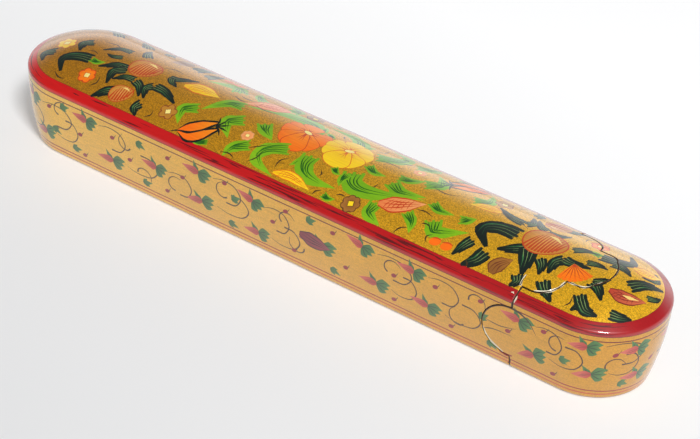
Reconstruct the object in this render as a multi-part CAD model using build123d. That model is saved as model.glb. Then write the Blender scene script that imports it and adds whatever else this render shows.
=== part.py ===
from build123d import *
import math
import os

# A lacquered paper pen box: a long case with a domed top and rounded ends,
# and a drawer that pulls out of it at one end. The drawer is a thin open
# tray, glued into the end that was cut off the case for it, its head.
# The box lies along X with the head at +X. Its origin is the middle of the
# footprint, on the surface that it stands on. Sizes are millimetres.

# The outer form
length = 240.0
width = 44.0
side_height = 27.2          # from the floor up to the shoulder
crown_rise = 6.6            # the domed top, above the shoulder
side_tuck = 3.5             # how far each side curves in at the floor
shoulder_bevel = 0.8        # the eased edge between the sides and the top
heel_bevel = 1.6            # the eased edge along the underside

# Walls and fits
case_wall = 1.8
tray_wall = 1.4
slide_gap = 0.35            # between the tray and the case that it slides in
glue_line = 0.1             # between the tray and the head that it is glued into
rim_drop = 3.05             # from the shoulder down to the rim of the tray
tray_cove = 1.6             # the slope along the tray's floor, inside
rim_bevel = 0.4             # the worn edges of the tray's rim

# The seam between the case and the head
seam_station = 80.5         # where it crosses the shoulders and the underside
seam_gap = 0.3
ear_radius = 9.6            # the head's round ear on each side of the case
ear_level = 14.6            # the ear's centre, above the floor
tongue_width = 34.4         # the case's lobed tongue, over the tray
tongue_front = 91.2
tongue_lobe = 7.6           # the rounding of its two outer lobes
step_width = 19.4           # the narrower step in front of them
step_front = 98.8
step_lobe = 3.4
tip_width = 13.6            # the middle lobe at its tip
tip_front = 101.4
tip_lobe = 10.5

# The shapes that cut the box stand this far out of it
cut_margin = 10.0

half_width = width / 2
straight_half = length / 2 - half_width
crown_top = side_height + crown_rise
crown_radius = (half_width**2 + crown_rise**2) / (2 * crown_rise)
crown_centre = (0, crown_top - crown_radius)
side_radius = (side_height**2 + side_tuck**2) / (2 * side_tuck)
side_centre = (half_width - side_radius, side_height)
tray_inset = case_wall + slide_gap
room_inset = tray_inset + tray_wall
rim_level = side_height - rim_drop


def side_reach(inset, level):
    """How far out the side's curve stands at a height, with the skin inset."""
    return side_centre[0] + math.sqrt((side_radius - inset) ** 2 - (level - side_height) ** 2)


def crown_level(inset, reach):
    """How high the crown's curve stands at a distance from the middle, with the skin inset."""
    return crown_centre[1] + math.sqrt((crown_radius - inset) ** 2 - reach**2)


def shoulder_corner(inset):
    """Where the side's curve meets the crown's, with the skin inset."""
    side_r = side_radius - inset
    crown_r = crown_radius - inset
    offset_x = side_centre[0] - crown_centre[0]
    offset_y = side_centre[1] - crown_centre[1]
    apart = math.hypot(offset_x, offset_y)
    along = (crown_r**2 - side_r**2 + apart**2) / (2 * apart)
    across = math.sqrt(crown_r**2 - along**2)
    foot_x = crown_centre[0] + along * offset_x / apart
    foot_y = crown_centre[1] + along * offset_y / apart
    return foot_x + across * offset_y / apart, foot_y - across * offset_x / apart


def corner_at(face, point):
    """The corner of a flat face at a point, in the list that a chamfer takes."""
    return [v for v in face.vertices() if math.dist((v.X, v.Y), point) < 1e-3]


def half_section(inset, heel_ease, shoulder_ease):
    """Right half of the box's cross-section, inset all round, with its heel and shoulder eased."""
    heel = (side_reach(inset, inset), inset)
    shoulder = shoulder_corner(inset)
    waist_level = (heel[1] + shoulder[1]) / 2
    waist = (side_reach(inset, waist_level), waist_level)
    brow_reach = shoulder[0] / 2
    brow = (brow_reach, crown_level(inset, brow_reach))
    middle_top = (0, crown_top - inset)
    middle_floor = (0, inset)
    outline = [
        Line(middle_floor, heel),
        ThreePointArc(heel, waist, shoulder),
        ThreePointArc(shoulder, brow, middle_top),
        Line(middle_top, middle_floor),
    ]
    face = make_face(outline).face()
    for corner, ease in ((heel, heel_ease), (shoulder, shoulder_ease)):
        if ease:
            face = face.chamfer_2d(ease, ease, corner_at(face, corner))
    return face


def box_form(inset, heel_ease=0, shoulder_ease=0):
    """The whole box as a solid, its skin inset: a straight body between two round ends."""
    section = Plane.YZ * half_section(inset, heel_ease, shoulder_ease)
    half_body = extrude(section, amount=straight_half, both=True)
    round_end = Pos(straight_half, 0, 0) * revolve(section, axis=Axis.Z, revolution_arc=-180)
    body = half_body + mirror(half_body, Plane.XZ)
    return body + round_end + mirror(round_end, Plane.YZ)


def tab(tab_width, front, lobe):
    """A flat tab that reaches out from the seam to a front with two rounded corners."""
    reach = front - seam_station
    plate = Pos(front - reach / 2, 0) * Rectangle(reach, tab_width)
    corners = plate.vertices().group_by(Axis.X)[-1]
    return fillet(corners, lobe)


def tongue(gap):
    """The case's lobed tongue as an upright prism, grown all round by a gap."""
    outline = tab(tongue_width + 2 * gap, tongue_front + gap, tongue_lobe + gap)
    outline += tab(step_width + 2 * gap, step_front + gap, step_lobe + gap)
    tip_reach = tip_front + gap - seam_station
    tip_disc = Pos(tip_front - tip_lobe, 0) * Circle(tip_lobe + gap)
    tip_strip = Pos(tip_front + gap - tip_reach / 2, 0) * Rectangle(tip_reach, tip_width + 2 * gap)
    outline += tip_disc & tip_strip
    root = Pos(seam_station - case_wall / 2, 0) * Rectangle(case_wall, tongue_width + 2 * gap)
    crown_room = crown_rise + case_wall + cut_margin
    return Pos(0, 0, side_height - case_wall) * extrude(outline + root, amount=crown_room)


def ears(gap):
    """The head's round ears as one cylinder across the box, grown all round by a gap."""
    across = Cylinder(ear_radius + gap, width + cut_margin, rotation=(90, 0, 0))
    return Pos(seam_station, 0, ear_level) * across


def case_side(station):
    """Everything on the case's side of a flat cut across the box."""
    block_length = length / 2 + cut_margin + station
    block = Box(block_length, width + cut_margin, crown_top + cut_margin)
    return Pos(station - block_length / 2, 0, crown_top / 2) * block


def head_room():
    """Everything on the head's side of the seam, a gap away from the case."""
    case_room = case_side(seam_station + seam_gap) + tongue(seam_gap) - ears(0)
    whole = Box(length + cut_margin, width + cut_margin, crown_top + cut_margin)
    return Pos(0, 0, crown_top / 2) * whole - case_room


def outer_shell():
    """The outer moulding before it is cut at the seam."""
    return box_form(0, heel_bevel, shoulder_bevel) - box_form(case_wall)


def case():
    """The outer case: one moulded shell, open at the seam and closed at the far end."""
    return outer_shell() & (case_side(seam_station) - ears(seam_gap) + tongue(0))


def drawer_head():
    """The end cut off the case, with an ear each side and the tongue's cut-out on top."""
    return outer_shell() & head_room()


def drawer_tray():
    """The open tray: it slides inside the case and thickens where it is glued into the head."""
    glued_part = box_form(case_wall + glue_line) & head_room()
    above_rim = Pos(0, 0, rim_level + crown_top / 2) * Box(length, width, crown_top)
    outside = box_form(tray_inset) + glued_part - above_rim
    tray = outside - box_form(room_inset, tray_cove)
    rim = tray.faces().filter_by(Plane.XY).sort_by(Axis.Z)[-1]
    return chamfer(rim.inner_wires()[0].edges(), rim_bevel)


if __name__ == "__main__":
    os.makedirs("parts", exist_ok=True)
    nodes = {"case": case(), "drawer_head": drawer_head(), "drawer_tray": drawer_tray()}
    for name, piece in nodes.items():
        print(name, "volume", round(piece.volume), "valid", piece.is_valid, "solids", len(piece.solids()))
        export_step(piece, f"parts/{name}.step")
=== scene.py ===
# %% [markdown]
# # A painted pen box
#
# The real object is a box of lacquered paper: a long case with a domed top, and a drawer
# whose head is the case's own end, cut off along a lobed seam. The shapes are plain. Nearly
# all of its character is paint: flowers on gold over the top, small sprigs on ochre down the
# walls, a red band between them, and a thick clear lacquer over everything.
#
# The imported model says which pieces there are, where they lie and how they move. This script
# dresses them. It works in millimetres, as a maker would, and turns them into Blender's
# metres only where a mesh is made.

# %% Load the model and read its sizes
import math
import random

import bmesh
import bpy
import numpy as np
from mathutils import Matrix, Vector
from mathutils.geometry import delaunay_2d_cdt


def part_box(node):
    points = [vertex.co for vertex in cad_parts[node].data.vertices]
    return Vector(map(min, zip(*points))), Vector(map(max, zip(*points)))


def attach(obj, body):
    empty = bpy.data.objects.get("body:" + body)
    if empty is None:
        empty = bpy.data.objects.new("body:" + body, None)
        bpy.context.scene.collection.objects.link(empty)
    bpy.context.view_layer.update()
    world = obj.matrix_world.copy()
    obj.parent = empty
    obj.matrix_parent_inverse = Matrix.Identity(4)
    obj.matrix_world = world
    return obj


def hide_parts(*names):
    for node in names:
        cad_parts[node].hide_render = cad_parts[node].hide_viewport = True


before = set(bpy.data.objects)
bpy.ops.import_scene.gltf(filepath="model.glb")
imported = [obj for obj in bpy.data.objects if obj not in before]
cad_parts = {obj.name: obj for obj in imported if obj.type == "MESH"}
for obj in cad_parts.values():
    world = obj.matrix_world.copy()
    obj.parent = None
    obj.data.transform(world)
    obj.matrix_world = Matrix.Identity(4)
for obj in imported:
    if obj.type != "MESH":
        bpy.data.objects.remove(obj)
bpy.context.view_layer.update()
bpy.ops.object.select_all(action="DESELECT")

mm = 0.001
_, case_high = (Vector(corner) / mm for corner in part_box("case"))
_, head_high = (Vector(corner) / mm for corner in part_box("drawer_head"))
tray_low, tray_high = (Vector(corner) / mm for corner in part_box("drawer_tray"))

half_width = case_high.y
half_length = head_high.x
crown_top = case_high.z
print(f"box {2 * half_length:.1f} long, {2 * half_width:.1f} wide, {crown_top:.1f} high")

# %% [markdown]
# ## The form as four arcs
#
# Cut across, the box is the same all the way along: a low crown, a tight turn at the
# shoulder, a wall that curves in as it goes down, and a soft heel. Each is an arc, and each
# starts in the direction in which the last one ended. The angle of the surface's normal then
# grows steadily from straight up to straight down, so one number, the stage, says where on
# the section a point lies: 0 to 1 is the crown, then the shoulder, the wall and the heel.
#
# A second section, set in by the wall's thickness, gives the inside in the same way.

# %% The cross-section
side_height = 27.2
side_tuck = 3.5
crown_rise = crown_top - side_height
case_wall = 1.8
shoulder_round = 1.2
heel_round = 1.5
inner_shoulder_round = 0.5
inner_heel_round = 0.8

straight_half = half_length - half_width
crown_radius = (half_width**2 + crown_rise**2) / (2 * crown_rise)
crown_centre = (0.0, crown_top - crown_radius)
side_radius = (side_height**2 + side_tuck**2) / (2 * side_tuck)
side_centre = (half_width - side_radius, side_height)


def shoulder_corner(inset):
    """Where the wall's arc meets the crown's, with both set in."""
    side_r = side_radius - inset
    crown_r = crown_radius - inset
    offset_x = side_centre[0] - crown_centre[0]
    offset_z = side_centre[1] - crown_centre[1]
    apart = math.hypot(offset_x, offset_z)
    along = (crown_r**2 - side_r**2 + apart**2) / (2 * apart)
    across = math.sqrt(crown_r**2 - along**2)
    foot_x = crown_centre[0] + along * offset_x / apart
    foot_z = crown_centre[1] + along * offset_z / apart
    return foot_x + across * offset_z / apart, foot_z - across * offset_x / apart


def bearing(centre, point):
    """The direction from a centre to a point, measured from straight up."""
    return math.atan2(point[0] - centre[0], point[1] - centre[1])


class Section:
    """Half of the cross-section as four arcs, set in from the outside by an inset."""

    def __init__(self, inset, shoulder, heel):
        turn = shoulder_corner(inset + shoulder)
        foot_level = inset + heel
        foot_reach = side_centre[0] + math.sqrt(
            (side_radius - foot_level) ** 2 - (foot_level - side_height) ** 2
        )
        foot = (foot_reach, foot_level)
        self.centres = np.array([crown_centre, turn, side_centre, foot])
        self.radii = np.array([crown_radius - inset, shoulder, side_radius - inset, heel])
        self.angles = np.array([
            0,
            bearing(crown_centre, turn),
            bearing(side_centre, turn),
            bearing(side_centre, foot),
            math.pi,
        ])

    def at(self, stage):
        """How far out a stage of the section stands, its height, and its normal's angle."""
        arc = np.clip(stage.astype(int), 0, 3)
        start = self.angles[arc]
        angle = start + (stage - arc) * (self.angles[arc + 1] - start)
        reach = self.centres[arc, 0] + self.radii[arc] * np.sin(angle)
        level = self.centres[arc, 1] + self.radii[arc] * np.cos(angle)
        return reach, level, angle


outside = Section(0.0, shoulder_round, heel_round)
inside = Section(case_wall, inner_shoulder_round, inner_heel_round)
print(f"crown radius {crown_radius:.1f}, wall radius {side_radius:.1f}")

# %% [markdown]
# ## A flat pattern that wraps round the box
#
# Paint with hard edges has to be cut into the mesh, and that is far easier on a flat sheet
# than on a domed one. So the whole outside is first drawn flat, as a dressmaker's pattern.
# The pattern's middle is the top seen from above. Past the shoulder it goes on outwards, by
# as much as the wall is high. Every point is at some distance from the box's spine, the line
# that joins the centres of its two round ends. That distance alone gives its stage, so
# wrapping is one short formula.
#
# Pattern points are complex numbers, because a motif is then turned and scaled by one
# multiplication and moved by one addition.

# %% Wrapping the pattern round the box
crown_edge = outside.radii[0] * math.sin(outside.angles[1])
arc_lengths = outside.radii[1:] * np.diff(outside.angles)[1:]
stage_marks = crown_edge + np.concatenate([[0.0], np.cumsum(arc_lengths)])
shoulder_mark, wall_mark, heel_mark, floor_mark = stage_marks
tiny = 1e-9


def on_spine(pattern):
    """The nearest points of the spine to points of the pattern."""
    return np.clip(np.real(pattern), -straight_half, straight_half)


def stage_of(distance):
    """The stage of the section at a distance from the spine on the pattern."""
    on_crown = np.arcsin(np.clip(distance / outside.radii[0], 0, 1)) / outside.angles[1]
    past_crown = np.interp(distance, stage_marks, [1.0, 2.0, 3.0, 4.0])
    return np.where(distance < shoulder_mark, on_crown, past_crown)


def wrap(pattern, section=outside, sunk=0.0):
    """Places and normals on the box, in millimetres, of points of the flat pattern."""
    pattern = np.asarray(pattern, complex)
    spine = on_spine(pattern)
    out = pattern - spine
    distance = np.abs(out)
    out = np.where(distance > tiny, out / np.maximum(distance, tiny), 1j)
    reach, level, angle = section.at(stage_of(distance))
    normals = np.stack([out.real * np.sin(angle), out.imag * np.sin(angle), np.cos(angle)], 1)
    places = np.stack([spine + out.real * reach, out.imag * reach, level], 1)
    return places - normals * np.reshape(sunk, (-1, 1)), normals


def wall_spot(spots):
    """Pattern points of wall spots, whose real part runs along the near wall and the other up it."""
    spots = np.asarray(spots, complex)
    angle = np.arccos(np.clip((spots.imag - side_height) / side_radius, -1, 1))
    distance = wall_mark + (angle - outside.angles[2]) * side_radius
    spine = on_spine(spots)
    turn = (spots.real - spine) / half_width - math.pi / 2
    return spine + distance * np.exp(1j * turn)


print(f"pattern {floor_mark:.1f} mm from the spine to the floor")

# %% [markdown]
# ## The seam
#
# The head was cut off the case along one line. Down each wall it runs round an ear of the
# head, and over the top it runs round a tongue of the case with three lobes. Each lobe is
# given by how far forward it reaches, its half width and its radius. The case's edge and the
# head's edge are the same line, a knife's width apart, so one function draws both, from how
# far towards the head it is moved.

# %% The seam's line on the pattern
seam_station = 80.5
seam_gap = 0.3
ear_radius = 9.6
ear_level = 14.6
tongue_lobes = ((91.2, 17.2, 7.6), (98.8, 9.7, 3.4), (101.4, 6.8, 10.5))


def arc(centre, radius, start, end, step=0.45):
    """Points of an arc, from one angle to another in degrees, about a step apart."""
    turn = math.radians(end - start)
    count = max(2, math.ceil(abs(turn) * radius / step))
    return centre + radius * np.exp(1j * (math.radians(start) + turn * np.linspace(0, 1, count + 1)))


def seam(moved):
    """The seam from the near wall's foot, over the top, to the far wall's foot."""
    station = seam_station + moved
    radius = ear_radius + seam_gap - moved
    lean = math.degrees(math.acos(moved / radius))
    ear = wall_spot(arc(seam_station + 1j * ear_level, radius, 360 - lean, lean))
    halves = [half for _, half, _ in tongue_lobes]
    root = np.array([station - 1j * (halves[0] + moved)])
    near_half = [np.array([station - 1j * floor_mark]), ear, root]
    for (front, half, lobe), next_half in zip(tongue_lobes, [*halves[1:], None]):
        radius = lobe + moved
        if next_half is None:
            centre_y = 0.0
            start = -math.degrees(math.asin((half + moved) / radius))
            end = 0.0
        else:
            centre_y = lobe - half
            start = -90.0
            end = math.degrees(math.asin((-next_half - moved - centre_y) / radius))
        near_half.append(arc(front - lobe + 1j * centre_y, radius, start, end))
    near = np.concatenate(near_half)
    return np.concatenate([near[:-1], np.conj(near[::-1])])


straight_step = 2.0
round_step = 4.0


def outline_of(piece):
    """The whole edge of one piece of the pattern."""
    side = {"case": -1, "head": 1}[piece]
    edge = seam(0.0 if piece == "case" else seam_gap)
    station = edge[0].real
    steps = math.ceil(abs(side * straight_half - station) / straight_step)
    straight = np.linspace(station, side * straight_half, steps + 1)[1:]
    round_end = arc(side * straight_half, floor_mark, 90, 90 - side * 180, round_step)
    far = straight + 1j * floor_mark
    near = straight[::-1] - 1j * floor_mark
    return np.concatenate([edge, far[:-1], round_end, near[1:]])


print(f"the tongue reaches {tongue_lobes[-1][0] - seam_station:.1f} mm past the seam")

# %% [markdown]
# ## Colours
#
# The colours are written as they look on the dry paint, 0 to 255, and are turned into the
# linear values that Blender counts in. A tint holds two of them, for the inner and the outer
# end of a shape, and says how much of the gold ground shines through.

# %% The painter's colours
def linear(red, green, blue):
    """A colour from the screen's scale to Blender's linear one."""
    channels = np.array([red, green, blue]) / 255
    return np.where(channels <= 0.04045, channels / 12.92, ((channels + 0.055) / 1.055) ** 2.4)


class Tint:
    """What a shape is painted with: an inner and an outer colour, and how gilded it is."""

    def __init__(self, inner, outer=None, gilding=0.0):
        self.inner = linear(*inner)
        self.outer = linear(*(outer or inner))
        self.gilding = gilding


# Painted light and shade: the gold, the ochre and the red band change colour from the head's end to the
# far end, as the light falls on the box. The gold is painted brighter at the head and darker at the far
# end. The ochre of the walls and the red band are painted darker at the head and lighter at the far end.
gold = Tint((242, 184, 28), (184, 120, 10), 1.0)
ochre = Tint((208, 144, 20), (250, 196, 80), 0.35)
band_red = Tint((162, 4, 14), (214, 12, 10))
band_dark = Tint((96, 6, 12))
line_dark = Tint((112, 22, 18), gilding=0.1)
line_red = Tint((164, 40, 20), gilding=0.1)
line_orange = Tint((206, 92, 34), gilding=0.2)
underside_paint = Tint((58, 20, 16))


class Shape:
    """One painted shape: its outline, and its tint, which runs over a reach from a start."""

    def __init__(self, outline, tint, start=0.0, reach=1.0):
        self.outline = np.asarray(outline, complex)
        self.tint = tint
        self.start = start
        self.reach = reach


painting = []

# %% [markdown]
# ## The grounds and the bands
#
# Paint goes on in layers, so each shape simply covers those before it. The walls come first,
# in ochre, then the fine lines round them, then the red band, and last the gold on top. Each
# of these is a round-ended outline at some distance from the spine. A slow wobble of less
# than a tenth of a millimetre makes its edge look ruled by hand.

# %% Laying the grounds
ring_steps = 98
end_steps = 36


def round_ended(distance, wobble=0.0, seed=0):
    """A closed line round the pattern at a distance from the spine, drawn by hand."""
    near = np.linspace(-straight_half, straight_half, ring_steps + 1) - 1j * distance
    far = -near
    right = arc(straight_half, distance, -90, 90, distance * math.pi / end_steps)
    left = -right
    line = np.concatenate([near[:-1], right[:-1], far[:-1], left[:-1]])
    along = np.linspace(0, 2 * math.pi, len(line), endpoint=False)
    sway = sum(np.sin(along * turns + seed * turns) / turns**0.5 for turns in (7, 17, 31, 53))
    spine = on_spine(line)
    return spine + (line - spine) * (1 + wobble * sway / distance)


def lay_ring(distance, tint, wobble=0.06, seed=0):
    """Covers all inside a distance from the spine. The tint runs from the head to the far end; for the
    gold, the ochre and the red band this change is painted light and shade along the box.
    """
    ring = round_ended(distance, wobble, seed)
    painting.append(Shape(ring, tint, half_length, 2 * half_length))


band_inner = 18.9
lay_ring(floor_mark + 3, ochre, 0)
lay_ring(floor_mark - 2.8, line_orange, seed=1)
lay_ring(floor_mark - 3.4, ochre, seed=1)
lay_ring(floor_mark - 4.3, line_red, seed=2)
lay_ring(floor_mark - 4.8, ochre, seed=2)
lay_ring(wall_mark + 2.6, line_dark, seed=3)
lay_ring(wall_mark + 2.2, ochre, seed=3)
lay_ring(wall_mark + 0.7, band_dark, seed=4)
lay_ring(wall_mark + 0.5, band_red, seed=4)
lay_ring(band_inner + 0.1, band_dark, 0.08, seed=5)
lay_ring(band_inner, gold, 0.08, seed=5)
print(f"{len(painting)} grounds and bands")

# %% [markdown]
# ## The painter's strokes
#
# Everything on the box is made of a few kinds of stroke: a line that swells and thins, a
# rounded petal, and an oval. A stroke is drawn as the soft curve through a few points, with a
# width that changes along it. Each motif below is a handful of them, laid one over the other.
# Where it has an outline, that is a slightly larger shape in the line's colour underneath.
# The body comes next, then the lines on it, and last the lights.

# %% Strokes, petals and ovals
def soft(points, steps=5, closed=False):
    """A soft curve through a few points."""
    p = np.asarray(points, complex)
    if closed:
        padded = np.concatenate([p[-1:], p, p[:2]])
    else:
        padded = np.concatenate([[2 * p[0] - p[1]], p, [2 * p[-1] - p[-2]]])
    t = np.linspace(0, 1, steps, endpoint=False)
    pieces = []
    for a, b, c, d in zip(padded, padded[1:], padded[2:], padded[3:]):
        square = a - 2.5 * b + 2 * c - 0.5 * d
        cube = 1.5 * (b - c) + 0.5 * (d - a)
        pieces.append(b + 0.5 * t * (c - a) + t**2 * square + t**3 * cube)
    if not closed:
        pieces.append(p[-1:])
    return np.concatenate(pieces)


def dots(*pairs):
    """Pattern points from pairs of millimetres."""
    return np.array([complex(x, y) for x, y in pairs])


def stroke(points, widths, steps=5):
    """The outline of a brush stroke along a soft curve. A width of 0 makes a point."""
    line = soft(points, steps)
    share = np.linspace(0, 1, len(line))
    width = np.interp(share, np.linspace(0, 1, len(widths)), widths)
    ahead = np.gradient(line)
    side = 0.5j * width * ahead / np.maximum(np.abs(ahead), tiny)
    right = (line - side)[::-1]
    if widths[-1] == 0:
        right = right[1:]
    if widths[0] == 0:
        right = right[:-1]
    return np.concatenate([line + side, right])


def dab(points, widths, tint, start=0.0, reach=1.0, steps=5):
    """A shape of one brush stroke."""
    return Shape(stroke(points, widths, steps), tint, start, reach)


def beside(points, begin, end, sideways, close=0.35):
    """Four points along part of a curve, moved to its left, by a smaller share at their end."""
    line = soft(points)
    ahead = np.gradient(line)
    left = 1j * ahead / np.maximum(np.abs(ahead), tiny)
    spots = (np.linspace(begin, end, 4) * (len(line) - 1)).round().astype(int)
    return line[spots] + left[spots] * sideways * np.linspace(1, close, 4)


def turned(degrees):
    """The number that turns a pattern point by an angle."""
    return complex(math.cos(math.radians(degrees)), math.sin(math.radians(degrees)))


def oval(centre, length, width, turn=0.0, count=20):
    """An oval outline, turned by an angle in degrees."""
    round_line = np.exp(1j * np.linspace(0, 2 * math.pi, count, endpoint=False))
    upright = round_line.real * length / 2 + 0.5j * round_line.imag * width
    return centre + upright * turned(turn)

# %% Tints of the motifs
leaf_dark = Tint((10, 34, 22), (6, 24, 16))
leaf_dark_light = Tint((150, 176, 100), (36, 84, 50))
leaf_dark_back = Tint((60, 120, 64), (24, 70, 40))
leaf_light = Tint((112, 172, 8), (134, 188, 14))
leaf_light_line = Tint((8, 72, 10), (36, 112, 8))
brown_line = Tint((66, 44, 14))
orange_petal = Tint((255, 150, 14), (255, 112, 0))
orange_line = Tint((206, 62, 14))
yellow_petal = Tint((255, 196, 0), (255, 216, 24))
yellow_line = Tint((226, 110, 16))
pale_heart = Tint((255, 236, 138))
bud_ground = Tint((236, 172, 84), (206, 134, 44), 0.2)
bud_stripe = Tint((206, 44, 8), (198, 66, 14))
bud_light = Tint((250, 214, 120))
pink_petal = Tint((238, 128, 66), (250, 172, 104))
pink_line = Tint((214, 150, 90))
tan_petal = Tint((190, 130, 40))
tan_line = Tint((140, 62, 24))
brown_petal = Tint((136, 84, 30), (170, 112, 44))
brown_petal_line = Tint((84, 42, 16))
brown_bud_line = Tint((112, 52, 24))
red_petal = Tint((184, 62, 40), (214, 112, 70))
red_petal_line = Tint((120, 30, 24))
sprig_bud = Tint((184, 48, 44), (214, 104, 84))
sprig_purple = Tint((126, 26, 44), (156, 62, 72))
sprig_leaf = Tint((44, 94, 34), (78, 126, 62))
sprig_vein = Tint((24, 66, 30))
bud_crease = Tint((150, 48, 50))
purple_crease = Tint((62, 14, 30))
sprig_dot = Tint((150, 30, 40))
sprig_stem = Tint((62, 36, 18))

# %% Leaves and lines
def leaf(points, width, body, vein, vein_width, strands, close, blunt):
    """A leaf of a few strokes laid side by side from its broad root, with veins between them."""
    curve = dots(*points)
    length = abs(curve[-1] - curve[0])
    back = (curve[0] - curve[1]) / abs(curve[0] - curve[1])
    broad = 1.3 * width / strands
    shapes = [dab(curve, [0.6 * width, width, 0.7 * width, blunt], body, curve[0], length)]
    for number in range(strands):
        share = number / (strands - 1) - 0.5
        end = 0.94 - 0.5 * abs(share) + 0.06 * (number % 2)
        line = beside(curve, 0.0, end, 0.86 * width * share, close)
        line[0] += back * width * (0.14 - 0.12 * (number % 2))
        widths = [0.55 * broad, broad, 0.9 * broad, blunt]
        shapes.append(dab(line, widths, body, curve[0], length))
    for number in range(strands - 1):
        share = (number + 0.5) / (strands - 1) - 0.5
        line = beside(curve, 0.03, 0.62 + 0.16 * (number % 2), 0.8 * width * share, close)
        widths = [0.1, vein_width, 0.9 * vein_width, 0.05]
        shapes.append(dab(line, widths, vein, curve[0], 1.6 * width))
    return shapes


def dark_leaf(points, width):
    """A short nearly black leaf with fine light veins and a blunt end."""
    shapes = leaf(points, 1.12 * width, leaf_dark, leaf_dark_light, 0.18, 4, 0.6, 0.22 * width)
    shine = beside(dots(*points), 0.15, 0.75, -0.3 * width, 0.6)
    shapes.append(dab(shine, [0.1, 0.1 * width, 0.05], leaf_dark_back, shine[0], 3 * width))
    return shapes


def light_leaf(points, width):
    """A yellow-green leaf with broad dark veins and a long thin tail."""
    return leaf(points, 1.14 * width, leaf_light, leaf_light_line, 0.44, 5, 0.2, 0.0)


def tick(points, width=0.5, tint=brown_line):
    """One thin dark line."""
    return [dab(dots(*points), [0.08, width, width * 0.8, 0.08], tint)]

# %% Flowers
petal_rim = ((-1, 0.62), (-0.78, 0.93), (-0.3, 1.0), (0.3, 1.0), (0.78, 0.93), (1, 0.62))


def blossom(centre, reach, petals, body, line, heart_turn=-15.0):
    """An open flower seen from one side: petals at given angles round an off-centre heart."""
    centre = complex(*centre)
    across, near, far = reach
    shapes = []

    def rim(angle, share):
        height = far if math.sin(math.radians(angle)) > 0 else near
        direction = turned(angle)
        return centre + share * complex(direction.real * across, direction.imag * height)

    for angle, spread_angle in petals:
        half = spread_angle / 2
        lobe = [centre]
        for offset, share in petal_rim:
            lobe.append(rim(angle + offset * half, share))
        outline = soft(lobe, 4, closed=True)
        middle = outline.mean()
        shapes.append(Shape(middle + (outline - middle) * 1.045, line))
        shapes.append(Shape(middle + (outline - middle) * 0.985, body, centre, max(reach)))
        for offset in (-0.35, 0.1, 0.45):
            bend = rim(angle + offset * half * 0.6, 0.22)
            fold = [centre, bend, rim(angle + offset * half, 0.48)]
            shapes.append(dab(fold, [0.6, 0.32, 0.04], line))
    heart = oval(centre, 3.3, 1.7, heart_turn, 12)
    shapes.append(Shape(centre + (heart - centre) * 1.25, line))
    shapes.append(Shape(heart, pale_heart))
    return shapes


def striped_bud(centre, length, width, turn, stripes=9):
    """A round bud with many bent stripes and a pale light on its shoulder."""
    centre = complex(*centre)
    body = oval(0, length, width, 0, 28)
    body = body * (1 + 0.05 * np.cos(3 * np.angle(body)))
    shapes = [Shape(centre + body * 1.07 * turned(turn), bud_stripe)]
    shapes.append(Shape(centre + body * turned(turn), bud_ground, centre, length / 2))
    for share in np.linspace(-0.82, 0.82, stripes):
        half = width / 2 * math.sqrt(1 - share**2) * 0.92
        x = share * length / 2 * 0.9
        bend = length * 0.1
        points = [x + 2 * bend + 1j * half, x + bend * 0.8 + 0.1j * half, x - 0.6 * bend - 1j * half]
        stripe = stroke(points, [0.14, 0.5, 0.75])
        shapes.append(Shape(centre + stripe * turned(turn), bud_stripe))
    glow = [length * along + 1j * width * up for along, up in ((0.02, 0.36), (0.2, 0.3), (0.38, 0.1))]
    shapes.append(Shape(centre + stroke(glow, [0.1, width * 0.12, 0]) * turned(turn), bud_light))
    return shapes


def almond_bud(points, width, body=yellow_petal, line=yellow_line, hatch=5, bold=1.0):
    """A pointed bud with lines along it and short ones across."""
    curve = dots(*points)
    length = abs(curve[-1] - curve[0])
    shapes = [
        dab(curve, [0.35 * width, 1.1 * width, 0.95 * width, 0], line),
        dab(curve, [0.2 * width, 0.92 * width, 0.78 * width, 0], body, curve[0], length),
    ]
    for sideways in (-0.25, 0.02, 0.27):
        lengthwise = beside(curve, 0.08, 0.92, sideways * width)
        shapes.append(dab(lengthwise, [0.08, 0.3 * bold, 0.06], line))
    spine = soft(curve)
    ahead = np.gradient(spine)
    for share in np.linspace(0.2, 0.75, hatch):
        spot = int(share * (len(spine) - 1))
        side = 1j * ahead[spot] / abs(ahead[spot])
        lean = ahead[spot] / abs(ahead[spot]) * 0.3 * width
        right = spine[spot] - side * 0.34 * width - lean * 0.5
        left = spine[spot] + side * 0.34 * width + lean
        shapes.append(dab([right, spine[spot], left], [0.06, 0.2 * bold, 0.06], line))
    return shapes


def tulip(points, width):
    """A closed tulip: two orange petals inside thin dark lines, and a dark star behind it."""
    curve = dots(*points)
    point, middle, root = curve
    axis = (root - point) / abs(root - point)
    shapes = []
    for side in (-1j, 1j):
        bow = [point, middle + side * axis * 0.2 * width, root + side * axis * 0.16 * width]
        shapes.append(dab(bow, [0, 0.5 * width, 0.52 * width, 0.2 * width], leaf_dark))
        shapes.append(dab(bow, [0, 0.32 * width, 0.36 * width, 0.1], orange_petal, root, 10))
    style = [point - 2.5 * axis, point, middle, root]
    shapes.append(dab(style, [0, 0.5, 0.3, 0.2], leaf_dark))
    for angle in (-80, -40, 0, 40, 80):
        tip = root + axis * turned(angle) * 0.5 * width
        ray = [root - axis * 0.6, root + 0.4 * (tip - root), tip]
        shapes.append(dab(ray, [0.3, 0.8, 0], leaf_dark))
    return shapes


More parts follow.
